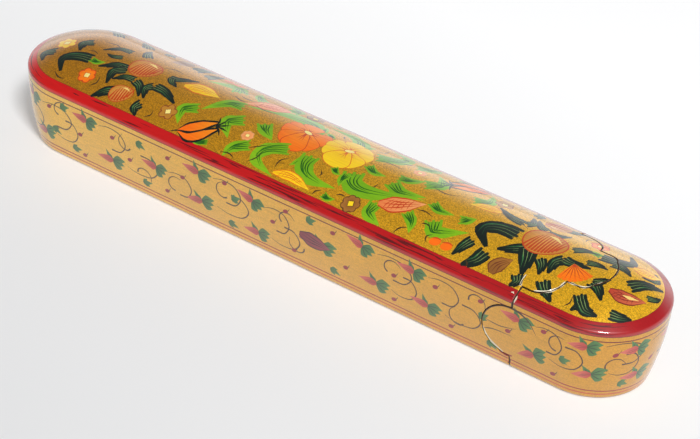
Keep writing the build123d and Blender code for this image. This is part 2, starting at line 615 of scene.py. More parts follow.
def rosette(centre, radius, petals=6, petal=orange_petal, line=orange_line, turn=0.0, heart=pale_heart):
    """A small flat flower with a square pale heart."""
    centre = complex(*centre)
    shapes = []
    for grown, tint in ((1.0, line), (0.86, petal)):
        for number in range(petals):
            angle = turn + number * 360 / petals
            spot = centre + radius * 0.52 * turned(angle)
            lobe = oval(spot, radius * 1.1 * grown, radius * 1.02 * grown**2, angle, 12)
            shapes.append(Shape(lobe, tint, centre, radius))
    square = np.array([1 + 1j, -1 + 1j, -1 - 1j, 1 - 1j]) * turned(turn + 10)
    shapes.append(Shape(centre + square * 0.33 * radius, line))
    shapes.append(Shape(centre + square * 0.27 * radius, heart))
    return shapes


fan_spread = 80.0
fan_petals = 7


def fan(root, direction, reach):
    """A fan of narrow petals, each wide at its far end."""
    root = complex(*root)
    ways = [turned(direction + share * fan_spread) for share in np.linspace(-0.5, 0.5, fan_petals)]
    shapes = []
    for way in ways:
        petal = [root, root + way * reach * 0.55, root + way * reach]
        shapes.append(dab(petal, [0.3, 1.3, 1.5], orange_petal, root, reach))
    for way in ways:
        crease = [root, root + way * reach * 0.5, root + way * reach * 0.9]
        shapes.append(dab(crease, [0.2, 0.3, 0.05], orange_line))
    return shapes

# %% [markdown]
# ## The garden on the top
#
# The painter worked in three rows: large blossoms and buds along the middle, and leaves, buds
# and small flowers along both edges. The row of the near edge comes again along the far one,
# as if the box had been turned end for end. On the pattern such a half turn is only a
# multiplication by -1, so that row is drawn once and used twice.

# %% Leaves along the edges
def moved(shapes, change):
    """The same shapes with every outline changed by one rule."""
    return [Shape(change(s.outline), s.tint, change(s.start), s.reach) for s in shapes]


def each(motif, *rows):
    """The shapes of one kind of motif, drawn once for every row of its values."""
    return [shape for row in rows for shape in motif(*row)]


edge_row = each(
    dark_leaf,
    ([(-107.5, -8.5), (-110.8, -10), (-109, -13.5)], 3.2),
    ([(-94, -6.4), (-98.4, -7.4), (-102.4, -10.6), (-99.3, -15.6)], 4.0),
    ([(-76.5, -13.8), (-80, -15.4), (-83.4, -19)], 3.6),
    ([(-75, -7), (-78.5, -7.6), (-81.5, -10.4)], 2.6),
    ([(-74, -7.4), (-71.5, -8.6), (-68.8, -12.4)], 3.0),
    ([(-67.6, -6.4), (-69, -8.6), (-66.8, -12.4)], 3.0),
    ([(-66.8, -6), (-62.5, -6.4), (-56.4, -9.4)], 3.4),
    ([(-66.2, -14.6), (-67, -16.6), (-65, -18.8)], 3.2),
    ([(58.6, -10.6), (57.4, -13.5), (56, -17.4)], 3.4),
    ([(64.6, -12.6), (63.4, -16), (60.2, -19)], 4.4),
    ([(80, -6.4), (81.8, -8.6), (82.8, -12)], 3.2),
    ([(77.4, -15), (78.4, -16.8), (77, -18.8)], 3.2),
    ([(85.4, -13.4), (87.2, -15.4), (91, -18.2)], 3.8),
    ([(97.4, -12.6), (99, -15), (97.6, -18)], 3.4),
    ([(98.6, -14), (101.5, -16.2), (105.4, -15.8)], 3.4),
    ([(108.2, -13), (110.8, -12), (113.8, -10)], 3.0),
)
edge_row += each(
    light_leaf,
    ([(-93.4, -6.4), (-91, -6.6), (-88.5, -5)], 2.4),
    ([(-48.6, -7.2), (-52.6, -10), (-50.2, -15.6)], 4.2),
    ([(-32.6, -4), (-36.6, -7.4), (-32, -13)], 4.8),
    ([(-24.2, -12.2), (-28.4, -15.2), (-29.6, -19)], 4.0),
    ([(-12.4, -7.4), (-18, -10.6), (-18.8, -15.6), (-10.4, -18.4)], 4.8),
    ([(-5.4, -7.4), (-6.2, -10), (-8, -12.8)], 2.6),
    ([(-4, -6.6), (-3.4, -11), (1.4, -14.2), (10.6, -13.6)], 5.4),
    ([(12, -5.6), (14.4, -9.8), (22.6, -9.6), (37, -3.6)], 6.2),
    ([(10.4, -7), (10, -9.6), (10.7, -12.4)], 2.8),
    ([(5.2, -6.6), (6.6, -8), (8.6, -8.4)], 2.2),
    ([(25, -12.8), (25, -16.6), (30.6, -18.6)], 4.2),
    ([(35.6, -11), (38.6, -13.4), (40, -17)], 3.4),
    ([(44.6, -10), (47.4, -13), (56.4, -8.4)], 5.0),
    ([(8.4, -17), (10.4, -17.6), (12.8, -16.8)], 2.0),
    ([(-37, -17), (-40, -18.3), (-43, -18.4)], 1.8),
)
print(f"{len(edge_row)} shapes for the leaves of one edge")

# %% Flowers along the edges
edge_row += rosette((-90, -13), 3.0)
edge_row += striped_bud((-75, -14), 8, 6.4, 25, 7)
edge_row += rosette((-56, -13), 3.0, 5, tan_petal, tan_line, 20)
edge_row += tulip([(-49, -17.6), (-43.4, -15.6), (-37.8, -10.4)], 9.0)
edge_row += rosette((-27, -9), 2.1, 7, pink_petal, pink_line)
edge_row += almond_bud([(-11, -17), (-4.5, -16), (3.5, -17.6)], 3.4)
edge_row += rosette((18, -16), 3.0, 7, brown_petal, brown_petal_line, 10, yellow_petal)
edge_row += almond_bud([(25.5, -12), (31.5, -9.5), (38.5, -5)], 6.2, pink_petal, orange_line, 6, 1.8)
brown_bud = [(70, -17.8), (70.4, -14.5), (73.5, -10.8)]
edge_row += almond_bud(brown_bud, 5.0, brown_petal, brown_bud_line, 0, 1.6)
for x in (49, 53):
    edge_row.append(Shape(oval(complex(x, -16), 3.8, 2.6, 15, 12), orange_petal))
    edge_row += tick([(x - 1.9, -15.4), (x, -14.6), (x + 1.9, -14.9)], 0.5, orange_line)
for points in (
    [(-23.5, -13), (-21, -11), (-18, -8.5)], [(-21, -17.5), (-19, -15), (-18.6, -12)],
    [(-11.5, -15.5), (-11.5, -12.5), (-9.5, -10.5)], [(2, -9.5), (3.2, -10.8), (3, -12)],
    [(5, -18.4), (5.4, -17), (7, -16)], [(12, -15.4), (13.5, -14.6), (15, -14.8)],
    [(37, -8.4), (40, -7.8), (43, -8.6)], [(-86.5, -16), (-85, -14), (-85.6, -11.5)],
    [(35.5, -19), (36.6, -16.6), (38.6, -15.4)], [(46.5, -17.6), (45.6, -15.6), (47, -14.2)],
    [(-31, -18), (-28, -17.4), (-25.4, -18.2)], [(41.5, -12.4), (43, -11.8), (44.6, -12.4)],
    [(60.6, -17), (62, -18.2), (61.6, -19)], [(-62, -18), (-60.4, -16.6), (-60.6, -14.8)],
    [(-101, -16.4), (-98.4, -17.6), (-96, -17.4)], [(95, -17.8), (96.2, -16), (95.8, -13.8)],
):
    edge_row += tick(points)
print(f"{len(edge_row)} shapes along each edge")

# %% Leaves along the middle
middle_row = each(
    dark_leaf,
    ([(-99.4, 1.6), (-101.6, -1), (-100, -5)], 3.4),
    ([(-86, 5.4), (-90, 4.6), (-94, 0)], 2.6),
    ([(-86, 0.4), (-88.6, -1), (-91.4, -1)], 2.2),
    ([(-80.6, -3.8), (-84.5, -4), (-89.4, -8)], 3.2),
    ([(-80.6, -4.6), (-83.4, -7.6), (-82, -12.8)], 3.4),
    ([(-66, 0.6), (-63.4, 1.6), (-57.6, 5.4)], 3.0),
    ([(-65.4, 0.8), (-64, -1), (-61, -2.4)], 2.4),
    ([(68.4, -0.8), (62.4, -1), (58.4, -5), (63.6, -10.6)], 5.6),
    ([(74.8, -4.6), (71.6, -6.6), (66.8, -9.6)], 4.2),
    ([(75, -5), (76.6, -8.6), (78.4, -14.2)], 5.0),
    ([(86, -2.8), (84.4, -5.6), (85, -10.2)], 3.8),
    ([(86, -2.6), (88.4, -2.8), (94.6, -1.6)], 3.8),
    ([(92.2, 0.4), (95, 1.4), (98.8, 1.2)], 2.6),
    ([(98, -6.6), (100.4, -7.6), (103.6, -11)], 3.6),
    ([(98.6, -6.2), (100, -4.6), (101.8, -2.2)], 2.8),
    ([(98.4, 5), (101.4, 5.6), (105.4, 3.8)], 3.4),
    ([(107.4, -0.4), (109.8, 4), (114.6, 8)], 4.0),
    ([(113.2, 0.2), (115, 2), (115.8, 4.2)], 2.0),
    ([(85.8, 3.4), (88.4, 5.8), (91.6, 6.6)], 2.8),
)
middle_row += each(
    light_leaf,
    ([(-37.6, 2.4), (-42, 1), (-47.4, -7)], 4.6),
    ([(-25.6, -1.6), (-23.6, -4), (-19, -6.8)], 4.8),
    ([(24.4, -2.6), (29, -4.8), (36.8, -2.4)], 4.8),
    ([(13.4, 0.6), (16.6, -1.4), (20.8, -0.8)], 3.0),
    ([(24.4, 1.4), (28.2, 2.2), (31.6, 5.4)], 3.4),
    ([(40, -3.4), (43.4, -5.2), (48.4, -4.4)], 3.2),
    ([(51, -5), (53, -4), (54.8, -1.8)], 3.6),
)
print(f"{len(middle_row)} shapes for the leaves along the middle")

# %% Flowers along the middle
middle_row += rosette((-107, -3), 3.2, 6, yellow_petal, yellow_line)
middle_row += striped_bud((-76, 0), 11, 9.6, 20)
middle_row += almond_bud([(-59.8, 0.2), (-53.5, 2), (-46.5, 1.6)], 6.2)
orange_petals = ((95, 70), (150, 44), (20, 44), (188, 42), (-8, 42), (222, 46), (-42, 46), (268, 84))
middle_row += blossom((-12.4, 3.8), (8.6, 11.4, 5.6), orange_petals, orange_petal, orange_line)
yellow_petals = ((100, 66), (52, 56), (150, 40), (178, 38), (206, 38), (8, 56), (-38, 60), (264, 98))
middle_row += blossom((3.8, 3.6), (8.4, 10.2, 6.6), yellow_petals, yellow_petal, yellow_line, 20)
middle_row += tick([(58, 6), (64, 6.6), (69.5, 4)], 0.5)
middle_row += almond_bud([(58.5, 6.4), (54, 6.2), (48.5, 3.8)], 4.2)
middle_row += striped_bud((77, 1.2), 13.6, 12, 15, 11)
middle_row += fan((89.6, -2.6), -58, 7.5)
middle_row += almond_bud([(103.6, 8.8), (107.6, 10.2), (111.4, 12.6)], 4.8)
middle_row += almond_bud([(103.5, -6), (108.5, -5.4), (114, -1.6)], 4.8, red_petal, red_petal_line)
middle_row.append(dab(dots((107.5, -5), (109.5, -4.4), (112, -3)), [0.2, 1.3, 0.1], bud_light))
for points in (
    [(19.5, -8.4), (20.6, -7), (20.8, -5.4)], [(35, 4.2), (40, 3.6), (43.6, 5.2)],
    [(-71, 5), (-68, 6.4), (-64.5, 6)], [(-97, 4.5), (-93, 6), (-89.5, 4.6)],
    [(-36, 6.4), (-31, 5.6), (-26, 7)], [(13, 5.4), (17, 6.8), (22, 6.4)],
    [(-44, 6.6), (-40.6, 5.4), (-38.4, 6.2)], [(-97.4, -3.6), (-95.6, -2.4), (-93.4, -3.2)],
):
    middle_row += tick(points)

painting += moved(edge_row, lambda z: -z)
painting += middle_row
painting += edge_row
print(f"{len(painting)} shapes with the garden")

# %% [markdown]
# ## Sprigs on the walls
#
# The walls carry a running pattern: a slender bud that points to the left, a small leaf behind
# it, brown scrolls in between, and single red dots. It is drawn as seen from the near side, x
# along the wall and z up it, and goes on round both ends. The far wall has the same row.

# %% The wall's motifs
def sprig(bud, leaf, purple=False):
    """A slender bud that points away from a leaf of four pointed blades."""
    bud, leaf = complex(*bud), complex(*leaf)
    axis = (leaf - bud) / abs(leaf - bud)
    root = bud + 0.42 * (leaf - bud)
    size = 1.45 if purple else 1.0
    shapes = []
    veins = []
    for end, bend, width in (
        (leaf + 2.0 * axis + 0.6j * axis, 0.5j, 3.4),
        (leaf - 0.2 * axis - 2.9j * axis, -0.7j, 3.2),
        (root - 2.0 * axis + 4.2j * axis, -0.8j, 2.2),
        (leaf + 1.2 * axis - 1.2j * axis, 0.0j, 3.0),
    ):
        middle = (root + end) / 2 + bend * axis
        shapes.append(dab([root, middle, end], [0.9, width, 0], sprig_leaf, root, 5))
        veins.append(dab([root, middle, (middle + end) / 2], [0.2, 0.4, 0.05], sprig_vein))
    shapes += veins
    tint = sprig_purple if purple else sprig_bud
    tail = bud - 4.2 * axis * size + 0.8j
    body = [root, bud + 0.2j * axis, tail]
    shapes.append(dab(body, [1.3, 3.3 * size, 2.3 * size, 0], tint, root, 6))
    for sideways in (-0.35, 0.35):
        crease = [root, bud + sideways * 1j * size, bud - 2.2 * axis]
        shapes.append(dab(crease, [0.06, 0.26, 0], purple_crease if purple else bud_crease))
    return shapes


scroll_sweep = 200


def scroll(place, radius, start):
    """A thin brown tendril that curls in, with a thicker end."""
    curl = [
        complex(*place) + radius * (1.7 - 0.8 * share) * turned(start + scroll_sweep * share)
        for share in np.linspace(0, 1, 6)
    ]
    return [dab(curl, [0.14, 0.42, 0.4, 0.6], sprig_stem, steps=4)]


def red_dot(x, z):
    """A red dot with a short stalk."""
    place = complex(x, z)
    stalk = [place, place + 1.0 + 0.7j, place + 1.6 + 1.9j]
    return [
        dab(stalk, [0.3, 0.3, 0.05], sprig_stem, steps=3),
        Shape(oval(place, 2.1, 1.6, 30, 9), sprig_dot),
    ]


def small_leaf(place, lean):
    """Three pointed blades that open from one spot."""
    spot = complex(*place)
    shapes = []
    for spread_angle, length in ((-34, 2.8), (0, 4.2), (36, 3.0)):
        tip = spot + length * turned(lean + spread_angle)
        blade = [spot, (spot + tip) / 2 + 0.15j, tip]
        shapes.append(dab(blade, [0.6, 1.7, 0], sprig_leaf, spot, 4))
    return shapes

# %% The row of one wall
sprig_curl = ((2, -0.4), (5.4, -1.4), (9.4, -0.6), (11.4, 3), (9.6, 6.6), (6.4, 7))
sprigs = (
    ((-129, 20), (-124, 20)), ((-122, 9), (-116, 10)), ((-110, 21), (-105, 20)),
    ((-104, 8), (-98.5, 10)), ((-85, 21), (-80, 21)), ((-75, 9), (-69, 10)),
    ((-56, 15), (-51, 15)), ((-39, 21), (-33, 21)), ((-38, 9), (-32, 11)),
    ((-17, 20), (-12, 19)), ((-15, 7), (-10, 8)), ((25, 22), (30, 21)),
    ((30, 9), (36, 10)), ((44, 21), (49, 21)), ((49, 10), (55, 10)),
    ((81, 21), (87, 21)), ((87, 9), (92, 12)), ((104, 21), (109, 22)),
    ((106, 10), (112, 12)), ((120, 20), (125, 21)), ((122, 9), (128, 10)),
)
wall_row = []
for number, (_, root) in enumerate(sprigs):
    down = -1 if root[1] > 14 else 1
    longer = 1 + 0.18 * (number % 3)
    bow = [complex(*root) + complex(x * longer, down * z) for x, z in sprig_curl]
    wall_row.append(dab(bow, [0.14, 0.34, 0.46, 0.4, 0.6], sprig_stem, steps=4))
wall_row += each(
    scroll,
    ((-94, 20), 2.3, 40), ((-66, 19), 2.2, 120), ((-60, 9), 2.3, -30), ((-46, 11), 2.4, 60),
    ((-26, 18), 2.3, 100), ((-2, 18), 2.2, 20), ((3, 10), 2.4, 150), ((38, 18), 2.3, 30),
    ((63, 11), 2.6, 110), ((68, 20), 2.4, -20), ((97, 18), 2.4, 60), ((115, 14), 2.4, 20),
)
wall_row += each(
    red_dot,
    (-130, 12), (-118, 15), (-99, 20), (-86, 14), (-72, 19), (-85, 5.6), (-65, 13), (-49, 21),
    (-50, 7), (-43, 16), (-26, 21.5), (-2, 21.5), (-7, 15), (1, 7), (16, 21.5), (21, 10),
    (39, 16), (39, 6), (54, 19), (60, 6), (70, 21.5), (80, 15), (92, 21), (96, 6), (115, 19),
    (129, 14),
)
wall_row += each(
    small_leaf,
    ((-94, 21.5), 20), ((-98, 12), -30), ((-90, 6.5), 10), ((-62, 21.5), -20),
    ((-60, 5.6), 20), ((-23, 16), 35), ((-25, 6), -15), ((6, 21.5), 25), ((15, 6.5), -20),
    ((70, 15), 40), ((73, 7), -30), ((98, 13), 20), ((118, 7), -20),
)
wall_row += each(sprig, *sprigs)
wall_row += sprig((9, 14), (16, 15), True)
purple_bud = [(3.4, 15.6), (9, 14.6), (15.2, 14.2)]
wall_row += almond_bud(purple_bud, 5.6, sprig_purple, purple_crease, 0, 1.6)
for points in ([(71.6, 16), (77, 15.6), (82.6, 17)], [(70.4, 11.4), (75, 13.2), (81.4, 13.6)]):
    wall_row += tick(points, 0.4, sprig_stem)

near_wall = moved(wall_row, wall_spot)
painting += near_wall
painting += moved(near_wall, lambda z: -z)
print(f"{len(near_wall)} shapes on each wall")

# %% [markdown]
# ## Wear, and painted light and shade at the seam
#
# The red band was brushed on in long strokes and has dried in darker streaks. Along the seam
# the lacquer has chipped down to its pale ground, most of all on the near side, where a thumb
# opens the box. The pale strokes along the seam are partly these chips and partly a painted
# highlight, where the raised edge of the case catches the light. The dark line along the
# head's edge is painted shadow, the shade in the gap below that edge, and so are the dark
# strokes round the ear on the wall. All of this is laid last, over everything else. Real
# chips are dents, but these are so shallow that paint in their colours reads the same.

# %% Streaks and chips
chip_and_highlight_ivory = Tint((232, 222, 196))
crack_and_shadow_dark = Tint((60, 34, 16))
chip_red = Tint((150, 20, 18))
seam_shadow_width = 0.3
streak_count = 150

# A line of painted shadow along the head's edge of the seam, where the gap below the case's raised edge
# lies in shade.
seam_shadow_line = np.concatenate([seam(0.0), seam(seam_gap + seam_shadow_width)[::-1]])
painting.append(Shape(seam_shadow_line, crack_and_shadow_dark))

chance = random.Random(7)
for number in range(streak_count):
    at = chance.triangular(-1, 1, 0.9) * (straight_half + half_width)
    level = chance.uniform(band_inner + 0.6, wall_mark - 0.1)
    length = chance.uniform(3, 16)
    along = np.linspace(at - length / 2, at + length / 2, 5)
    spine = on_spine(along)
    turn = np.exp(1j * ((along - spine) / half_width - math.pi / 2))
    drift = level + np.linspace(0, chance.uniform(-0.3, 0.3), 5)
    width = chance.uniform(0.12, 0.48)
    streak = stroke(spine + drift * turn, [0.04, width, width * 0.7, 0.04], 3)
    side = 1 if number % 2 else -1
    painting.append(Shape(side * streak, band_dark))

# Pale strokes along the tongue's lobes: partly chips down to the pale ground, partly a painted highlight
# where the case's raised edge catches the light. The dark stroke by the tongue's root is a crack.
for points, widths, tint in (
    ([(84.6, -17.1), (88.6, -15.6), (90.8, -12.6), (91.1, -10.4)], [0.2, 0.6, 1.0, 0.5, 0.9, 0.3], chip_and_highlight_ivory),
    ([(91.6, -10.0), (94.4, -9.9), (97.2, -9.4), (99.0, -7.4)], [0.3, 0.8, 0.4, 0.9, 0.5, 0.1], chip_and_highlight_ivory),
    ([(99.2, -6.6), (100.6, -4.4), (101.4, -1.6)], [0.1, 0.4, 0.2, 0.05], chip_and_highlight_ivory),
    ([(80.2, -17.4), (79.7, -15.8), (79.6, -13.6)], [0.7, 0.5, 0.3], chip_and_highlight_ivory),
    ([(80.1, -17.3), (79.8, -15.8), (79.9, -13.4)], [0.35, 0.25, 0.1], crack_and_shadow_dark),
    ([(78.8, -20.2), (79.4, -20.0), (79.9, -20.3)], [0.1, 0.5, 0.1], chip_and_highlight_ivory),
    ([(81.2, -22.6), (81.3, -21.4), (81.2, -20.4)], [0.2, 0.5, 0.2], chip_and_highlight_ivory),
):
    painting.append(dab(dots(*points), widths, tint))
# Round the ear on the near wall: the dark strokes above, over and below the ear are painted shadow in the
# gap, the pale stroke on its lower left is a painted highlight on the lit edge, and the red stroke is a
# chip.
for points, widths, tint in (
    ([(80.4, 26.4), (80.5, 24.6), (79.6, 24.0)], [0.4, 0.6, 0.3], crack_and_shadow_dark),
    (
        [(89.6, 18.2), (86.4, 22.3), (81.2, 24.2), (75.6, 23.0), (71.8, 19.2)],
        [0.1, 0.5, 0.8, 0.6, 0.1],
        crack_and_shadow_dark,
    ),
    ([(71.3, 12.6), (73.6, 8.4), (78.6, 5.5)], [0.1, 0.7, 0.9, 0.3], chip_and_highlight_ivory),
    ([(77.2, 5.2), (79.6, 4.9), (81.8, 5.4)], [0.3, 1.3, 0.4], chip_red),
    ([(80.6, 4.6), (81.2, 3.0), (80.4, 1.4)], [0.5, 0.3, 0.4], crack_and_shadow_dark),
):
    painting.append(Shape(wall_spot(stroke(dots(*points), widths)), tint))
print(f"{len(painting)} painted shapes")

# %% [markdown]
# ## Cutting the paint into the sheet
#
# Blender can triangulate a flat drawing in which the outlines cross each other, and says
# which outlines each triangle lies in. The last of them in painting order is the one that
# shows. The lines and spots that are added keep the triangles small enough to bend round the
# box. Modelling tools such as the knife would cut the same edges by hand, one at a time.

# %% Triangulating the pattern
merge_distance = 1e-4


def anticlockwise(outline):
    """The outline in the order in which its inside lies on the left."""
    doubled_area = (outline.conj() * np.roll(outline, -1)).imag.sum()
    return outline if doubled_area > 0 else outline[::-1]


def cut(outline, shapes, lines, spots):
    """Triangles inside an outline: points, triangles, top shapes, and where the input went."""
    points = []
    edges = []
    faces = []

    def take(line):
        first = len(points)
        points.extend(Vector((z.real, z.imag)) for z in line)
        return list(range(first, len(points)))

    faces.append(take(anticlockwise(outline)))
    faces.extend(take(anticlockwise(shape.outline)) for shape in shapes)
    for line in lines:
        ids = take(line)
        edges.extend(zip(ids, ids[1:]))
    take(spots)
    found, _, triangles, sources, _, owners = delaunay_2d_cdt(
        points, edges, faces, 0, merge_distance, True
    )
    kept = [number for number, over in enumerate(owners) if 0 in over]
    used = sorted({point for number in kept for point in triangles[number]})
    renamed = {point: place for place, point in enumerate(used)}
    pattern = np.array([complex(*found[point]) for point in used])
    sheet = [tuple(renamed[point] for point in triangles[number]) for number in kept]
    top = np.array([max(owners[number]) - 1 for number in kept])
    places = {source: place for point, place in renamed.items() for source in sources[point]}
    return pattern, sheet, top, places


def open_edge(triangles):
    """The edge of a sheet of triangles as one closed loop of its points."""
    sides = {pair for a, b, c in triangles for pair in ((a, b), (b, c), (c, a))}
    after = {a: b for a, b in sides if (b, a) not in sides}
    loop = [next(iter(sorted(after)))]
    while after[loop[-1]] != loop[0]:
        loop.append(after[loop[-1]])
    return loop


def even_spots(spacing, marks):
    """Spots spread over the whole pattern, in rows that follow the spine."""
    rows = []
    for number, distance in enumerate(marks):
        shift = spacing / 2 * (number % 2)
        along = np.arange(-straight_half + shift, straight_half, spacing)
        if distance < tiny:
            rows.append(along + 0j)
            continue
        rows.extend([along + 1j * distance, along - 1j * distance])
        count = max(4, math.ceil(math.pi * min(distance, half_width) / spacing))
        turns = (np.arange(count + 1 - number % 2) + 0.5 * (number % 2)) * math.pi / count
        end = distance * np.exp(1j * (turns - math.pi / 2))
        rows.extend([straight_half + end, -straight_half - end])
    return np.concatenate(rows)


crown_marks = np.linspace(0, shoulder_mark, 12)[:-1]
wall_marks = np.linspace(wall_mark, heel_mark, 14)[1:-1]
shoulder_marks = np.linspace(shoulder_mark, wall_mark, 6)
heel_marks = np.linspace(heel_mark, floor_mark, 6)[:-1]
print(f"{len(crown_marks) + len(wall_marks)} rows of spots from the spine to the heel")

# %% [markdown]
# ## A skin with a thickness
#
# Each half of the box becomes one closed mesh. The painted sheet is its outside, and its edge
# at the floor is closed by one flat face. The same edge is used again to cut a coarser inner
# sheet, which is wrapped on the inner section. Its spots are closest along the heel, because
# a long flat face there would cut the corner and touch the tray. Strips along the seam join
# the two sheets and show how thick the paper is. The last fifth of a millimetre of lacquer
# along the seam slopes down a little, because such an edge wears first.
#
# The faces that bend are smooth, and take the normals of the true form, so that the many
# small triangles of the paint don't show in the reflections.

# %% Building a skin
lip_width = 0.22
lip_drop = 0.13
outer_spacing = 2.0
inner_spacing = 2.5
inner_heel_spacing = 1.0
edge_clearance = 1.2
foot_reached = floor_mark - 1e-3
outer_slot, edge_slot, inner_slot = range(3)


def seam_first(loop, pattern):
    """A loop turned so that its seam comes first, and how many of its points the seam has."""
    at_foot = list(np.abs(pattern[loop] - on_spine(pattern[loop])) > foot_reached)
    start = next(i for i in range(len(loop)) if at_foot[i] and not at_foot[(i + 1) % len(loop)])
    loop = loop[start:] + loop[:start]
    at_foot = at_foot[start:] + at_foot[:start]
    return loop, at_foot[1:].index(True) + 2


def make_skin(name, piece):
    """One half of the box as a closed mesh with its paint, its cut edge and its inside."""
    outline = outline_of(piece)
    lip_line = seam(-lip_width if piece == "case" else seam_gap + lip_width)
    rings = [round_ended(mark) for mark in (*shoulder_marks, *heel_marks)]
    rings = [np.append(ring, ring[0]) for ring in rings]
    spots = even_spots(outer_spacing, [*crown_marks, *wall_marks])
    pattern, triangles, top, _ = cut(outline, painting, [lip_line, *rings], spots)
    loop, seam_count = seam_first(open_edge(triangles), pattern)
    seam_run = loop[:seam_count]
    foot_run = loop[seam_count - 1:] + loop[:1]

    sunk = np.zeros(len(pattern))
    sunk[seam_run[1:-1]] = lip_drop
    outer, outer_normals = wrap(pattern, outside, sunk)

    inner_marks = [*crown_marks[::3], *shoulder_marks[::2], *wall_marks[::2], *heel_marks[2::2]]
    heel_spots = even_spots(inner_heel_spacing, [heel_mark])
    coarse = np.concatenate([even_spots(inner_spacing, inner_marks), heel_spots])
    edge_points = pattern[loop]
    clear = np.array([np.abs(edge_points - spot).min() > edge_clearance for spot in coarse])
    inner_pattern, inner_triangles, _, sources = cut(edge_points, [], [], coarse[clear])
    assert len(sources) >= len(loop), "the inner sheet lost points of the seam"
    inner, inner_normals = wrap(inner_pattern, inside)

    first = len(outer)
    below = {v: first + sources[number] for number, v in enumerate(loop)}
    faces = list(triangles)
    faces.append(tuple(foot_run[::-1]))
    outer_count = len(faces)
    pairs = list(zip(seam_run, seam_run[1:])) + [(seam_run[-1], seam_run[0])]
    faces.extend((b, a, below[a], below[b]) for a, b in pairs)
    edge_count = len(faces)
    faces.extend((first + c, first + b, first + a) for a, b, c in inner_triangles)
    faces.append(tuple(below[v] for v in foot_run))

    mesh = bpy.data.meshes.new(name)
    mesh.from_pydata(np.concatenate([outer, inner]) * mm, [], faces)
    slots = np.full(len(faces), inner_slot)
    slots[:edge_count] = edge_slot
    slots[:outer_count] = outer_slot
    mesh.polygons.foreach_set("material_index", slots)
    mesh.shade_smooth()
    give_normals(mesh, outer_normals, inner_normals, set(seam_run), len(triangles), edge_count)
    give_paint(mesh, pattern, top, len(triangles))
    piece_object = bpy.data.objects.new(name, mesh)
    bpy.context.collection.objects.link(piece_object)
    print(f"{name}: {len(mesh.vertices)} points, {len(mesh.polygons)} faces")
    return piece_object


def give_normals(mesh, outer_normals, inner_normals, lip, sheet_count, edge_count):
    """Takes the true normals of the form for its smooth faces, and leaves the rest flat."""
    true_normals = np.concatenate([outer_normals, -inner_normals])
    normals = []
    last = len(mesh.polygons) - 1
    for number, face in enumerate(mesh.polygons):
        smooth = number < sheet_count or edge_count <= number < last
        if number < sheet_count and lip.intersection(face.vertices):
            smooth = False
        normals.extend(true_normals[v] if smooth else face.normal for v in face.vertices)
    mesh.normals_split_custom_set([tuple(n) for n in normals])


def give_paint(mesh, pattern, top, sheet_count):
    """Writes the colour of the top shape on every corner. Alpha says how gilded it is."""
    tints = [shape.tint for shape in painting]
    inner = np.array([tint.inner for tint in tints])
    outer = np.array([tint.outer for tint in tints])
    gilding = np.array([tint.gilding for tint in tints])
    start = np.array([shape.start for shape in painting])
    reach = np.array([shape.reach for shape in painting])
    corners = np.array([loop.vertex_index for loop in mesh.loops])[: 3 * sheet_count]
    shape = np.repeat(top, 3)
    share = np.clip(np.abs(pattern[corners] - start[shape]) / reach[shape], 0, 1)[:, None]
    colours = np.ones((len(mesh.loops), 4))
    colours[:, :3] = underside_paint.inner
    colours[:, 3] = 0
    colours[: len(corners), :3] = inner[shape] * (1 - share) + outer[shape] * share
    colours[: len(corners), 3] = gilding[shape]
    layer = mesh.color_attributes.new("paint", "FLOAT_COLOR", "CORNER")
    layer.data.foreach_set("color", colours.ravel().astype(np.float32))


case_skin = make_skin("case_skin", "case")
head_skin = make_skin("head_skin", "head")
for skin_object, body, node in ((case_skin, "case", "case"), (head_skin, "drawer", "drawer_head")):
    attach(skin_object, body)
    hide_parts(node)

# %% [markdown]
# ## The tray
#
# The drawer's tray is one thin wall of lacquered paper, open at the top. It is modelled as a
# hand would do it: a circle is pulled apart into a round-ended ring at the rim, and the ring
# is extruded downwards and drawn in, step by step, along the same arcs as the box. A face
# closes the floor, and Solidify gives the paper its thickness. Inside the head the tray is
# swollen outwards a little, because there it is glued and needs no room to slide.

# %% Modelling the tray
slide_gap = 0.35
tray_inset = case_wall + slide_gap
tray_wall = 1.4
tray_heel_round = 2.2
rim_round = 0.35
rim_zone = 0.3
land_start = seam_station + 1.5 * seam_gap
land_growth = tray_inset - tray_low.z
ring_corners = 74


def pick(mesh, test):
    """Selects the points of the mesh in edit mode that pass a test, and nothing else."""
    bm = bmesh.from_edit_mesh(mesh)
    for vertex in bm.verts:
        vertex.select = False
    bm.select_flush(False)
    for vertex in bm.verts:
        vertex.select = test(vertex)
    bm.select_flush(True)
    bmesh.update_edit_mesh(mesh)


def tray_profile():
    """How far out the tray's outside stands, and how high, from its rim to its floor."""
    section = Section(tray_inset, shoulder_round, tray_heel_round)
    rim_angle = math.acos((tray_high.z - side_height) / section.radii[2])
    rim_stage = 2 + (rim_angle - section.angles[2]) / (section.angles[3] - section.angles[2])
    stages = np.concatenate([np.linspace(rim_stage, 3, 7), np.linspace(3, 4, 6)[1:]])
    reach, level, _ = section.at(stages)
    return list(zip(reach, level))


